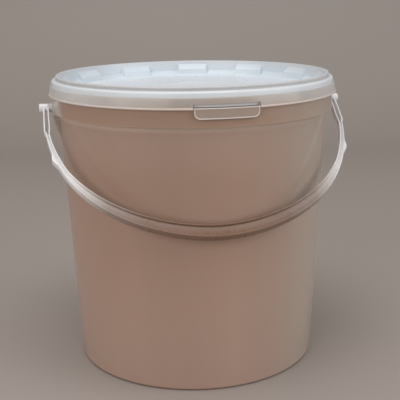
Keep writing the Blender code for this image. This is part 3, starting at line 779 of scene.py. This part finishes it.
def pail_color(made):
    """By height: the wall, the skirt, a painted highlight on the lip, and the paler collar with the lid
    behind it.

    Painted light: the wall lighter towards the bottom, a pale band that cancels the skirt's shadow, the right
    side paler and greyer like a reflection, and the sides, gusset and hubs paler where light comes through
    and to lift their shade.
    """
    height = made.along("Z")
    outwards = made.from_middle((1.0, 0.0, 0.0))
    # Painted light: the wall is painted lighter towards the bottom to lift the shade there, and the pale band
    # just under the skirt's edge is painted light that cancels the skirt's shadow.
    wall = made.ramp(height, [
        (0.0, (0.52, 0.350, 0.275)), (0.12, (0.48, 0.310, 0.235)), (0.19, (0.46, 0.298, 0.225)),
        (SKIRT_BOTTOM - 0.0055, (0.50, 0.340, 0.268)), (SKIRT_BOTTOM - 0.0018, (0.74, 0.540, 0.440)),
        (SKIRT_BOTTOM - 0.0002, (0.80, 0.600, 0.500)),
        (SKIRT_BOTTOM + 0.0002, (0.44, 0.288, 0.216)), (FLANGE_BOTTOM, (0.46, 0.302, 0.226))])
    # Painted reflection: the wall's right (+X) side is painted paler and greyer.
    right_side_light = made.blend(made.rise(made.along("X"), 0.020, 0.105, 0.75), wall, (0.48, 0.395, 0.330))
    # Painted highlight on the lip below the collar; above it, the paler collar with the lid behind it.
    collar = made.ramp(height, [
        (FLANGE_BOTTOM, LIP_HIGHLIGHT_COLOR), (FLANGE_TOP - 0.0001, LIP_HIGHLIGHT_COLOR),
        (FLANGE_TOP + 0.0004, (0.43, 0.345, 0.295)), (COLLAR_TOP, (0.47, 0.405, 0.360))])
    # Painted light: the collar is painted paler towards the sides.
    collar = made.blend(made.rise(outwards, 0.050, 0.122, 0.7), collar, (0.70, 0.645, 0.620))
    at_flange = made.rise(height, FLANGE_BOTTOM - 0.0004, FLANGE_BOTTOM + 0.0001, 1.0)
    whole = made.blend(at_flange, right_side_light, collar)
    # Painted light: the sides, the gusset and the ends of the skirt and collar are painted paler, lifting
    # their shade.
    sides = made.blend(made.rise(outwards, 0.1225, 0.1275, 0.75), whole, (0.60, 0.54, 0.50))
    # Painted light: the hubs are painted paler where light comes through them.
    return made.blend(made.rise(outwards, HUB_TIP - 0.0026, HUB_TIP - 0.0015, 0.9), sides, (0.68, 0.67, 0.66))


def tab_color(made):
    """By radius: the flat of the tab, and a painted highlight on its raised rib and top lip."""
    # Painted highlight: the raised rib and top lip are painted pale.
    return made.ramp(made.from_middle((1.0, 1.0, 0.0)), [
        (LIP_RADIUS - 0.0020, (0.44, 0.32, 0.26)), (LIP_RADIUS - 0.0004, (0.47, 0.345, 0.28)),
        (LIP_RADIUS - 0.0001, (0.86, 0.78, 0.72))])


def white_plastic(name, color_at, roughness):
    """A satin white moulding with a faint grain and slightly uneven gloss."""
    made = Plastic(name)
    set_sockets(made, {"Roughness": roughness, "IOR": PLASTIC_IOR})
    clouds, gloss, grain = made.noise(30.0, 4.0), made.noise(180.0), made.noise(260.0, 2.0)
    made.link(made.varied(color_at(made), clouds, 0.975, 1.02), made.shader.inputs["Base Color"])
    made.link(made.spread(gloss, roughness - 0.05, roughness + 0.06), made.shader.inputs["Roughness"])
    made.bump(grain, 0.03, 0.0001)
    return made.material


def lid_color(made):
    """By radius: the cool white panel, painted shade that greys the ledges and the stacking rim, and the
    skirt.
    """
    # Painted shade: the ledges and the stacking rim are painted greyer than the panel.
    return made.ramp(made.from_middle((1.0, 1.0, 0.0)), [
        (LEDGE_INNER - 0.0080, (0.77, 0.82, 0.86)), (LEDGE_OUTER + 0.0003, (0.60, 0.65, 0.69)),
        (LID_RIM_INNER, (0.58, 0.60, 0.61)), (LID_SKIRT_OUTER - 0.0042, (0.64, 0.63, 0.625)),
        (LID_SKIRT_OUTER - 0.0017, (0.73, 0.76, 0.78)), (LID_SKIRT_OUTER, (0.73, 0.76, 0.78))])


def handle_color(made):
    """Along the pivot axis: in the middle the brown of the wall seen through the clear grip, painted on, and
    towards the sides painted light, milky white where the ends are brightly lit.
    """
    # Painted on: the wall's brown seen through the clear grip; painted light: the brightly lit white ends.
    return made.ramp(made.from_middle((1.0, 0.0, 0.0)), [
        (0.0, (0.225, 0.127, 0.082)), (0.060, (0.25, 0.160, 0.118)), (0.090, (0.34, 0.270, 0.230)),
        (0.108, (0.64, 0.59, 0.55)), (0.120, (0.84, 0.82, 0.81)), (BAIL_HIGH.x, (0.84, 0.84, 0.85))])


# ---------------------------------------------------------------- stage and camera
PHOTO_TURN = math.radians(9.3)  # the pail's front is turned this far from the camera
CAMERA_DISTANCE = 0.77606
CAMERA_HEIGHT = 0.34572
CAMERA_PITCH = math.radians(14.415)
CAMERA_ROLL = math.radians(-0.8305)
CAMERA_YAW = math.radians(0.426)
CAMERA_LENS = 73.24


def make_camera():
    data = bpy.data.cameras.new("camera")
    data.lens = CAMERA_LENS
    data.sensor_width = 36.0
    camera = bpy.data.objects.new("camera", data)
    bpy.context.scene.collection.objects.link(camera)
    camera.location = (-CAMERA_DISTANCE * math.sin(PHOTO_TURN), -CAMERA_DISTANCE * math.cos(PHOTO_TURN),
                       CAMERA_HEIGHT)
    heading = Matrix.Rotation(-CAMERA_YAW - PHOTO_TURN, 4, 'Z')
    tilt = Matrix.Rotation(math.pi / 2.0 - CAMERA_PITCH, 4, 'X')
    roll = Matrix.Rotation(CAMERA_ROLL, 4, 'Z')
    camera.rotation_euler = (heading @ tilt @ roll).to_euler()
    bpy.context.scene.camera = camera


def plain_surface(name, color, roughness):
    """An even paint, for the stage."""
    made = Plastic(name)
    set_sockets(made, {"Base Color": (*color, 1.0), "Roughness": roughness})
    return made.material


def make_stage():
    """A floor that curves up into a backdrop, so that there is no horizon line."""
    near, far, wide, bend, top = -2.5, 1.5, 4.0, 0.5, 2.6
    steps = 16
    profile = [(near, 0.0), (far - bend, 0.0)]
    for i in range(1, steps + 1):
        angle = math.pi / 2.0 * i / steps
        profile.append((far - bend + bend * math.sin(angle), bend - bend * math.cos(angle)))
    profile.append((far, top))
    turn = Matrix.Rotation(-PHOTO_TURN, 4, 'Z')
    rings = []
    for x in (-wide, wide):
        rings.append([tuple(turn @ Vector((x, y, z - 0.0001))) for y, z in profile])
    floor = loft("floor", rings, ring_closed=False)
    for polygon in floor.data.polygons:
        polygon.use_smooth = True
    floor.data.materials.append(plain_surface("floor_paint", (0.38, 0.330, 0.295), 0.6))


def area_light(name, place, target, size, power, color):
    data = bpy.data.lights.new(name, 'AREA')
    data.shape = 'RECTANGLE'
    data.size, data.size_y = size
    data.energy = power
    data.color = color
    light = bpy.data.objects.new(name, data)
    light.location = place
    light.rotation_euler = (Vector(target) - Vector(place)).to_track_quat('-Z', 'Y').to_euler()
    bpy.context.scene.collection.objects.link(light)


def make_lights():
    world = bpy.data.worlds.new("world")
    world.use_nodes = True
    sky = world.node_tree.nodes["Background"]
    sky.inputs["Color"].default_value = (0.80, 0.80, 0.82, 1.0)
    sky.inputs["Strength"].default_value = 0.45
    bpy.context.scene.world = world
    area_light("key", (-1.5, -1.3, 0.9), (0.0, 0.0, 0.15), (1.6, 1.2), 13.0, (1.0, 0.97, 0.94))
    area_light("fill", (1.5, -0.9, 0.8), (0.0, 0.0, 0.15), (1.4, 1.2), 12.0, (0.96, 0.98, 1.0))
    area_light("top", (-0.2, -0.25, 1.8), (0.0, 0.0, 0.25), (1.6, 1.2), 15.0, (0.96, 0.98, 1.0))


def main():
    make_pail().data.materials.append(natural_plastic("natural_polypropylene", pail_color))
    make_lid().data.materials.append(white_plastic("white_lid", lid_color, 0.32))
    make_bail().data.materials.append(white_plastic("handle_plastic", handle_color, 0.30))
    tab_plastic = natural_plastic("tab_polypropylene", tab_color)
    make_tab().data.materials.append(tab_plastic)
    for index in range(1, 5):
        make_nib(index).data.materials.append(tab_plastic)
    make_stage()
    make_lights()
    make_camera()
    bpy.context.scene.view_settings.view_transform = 'Standard'


main()
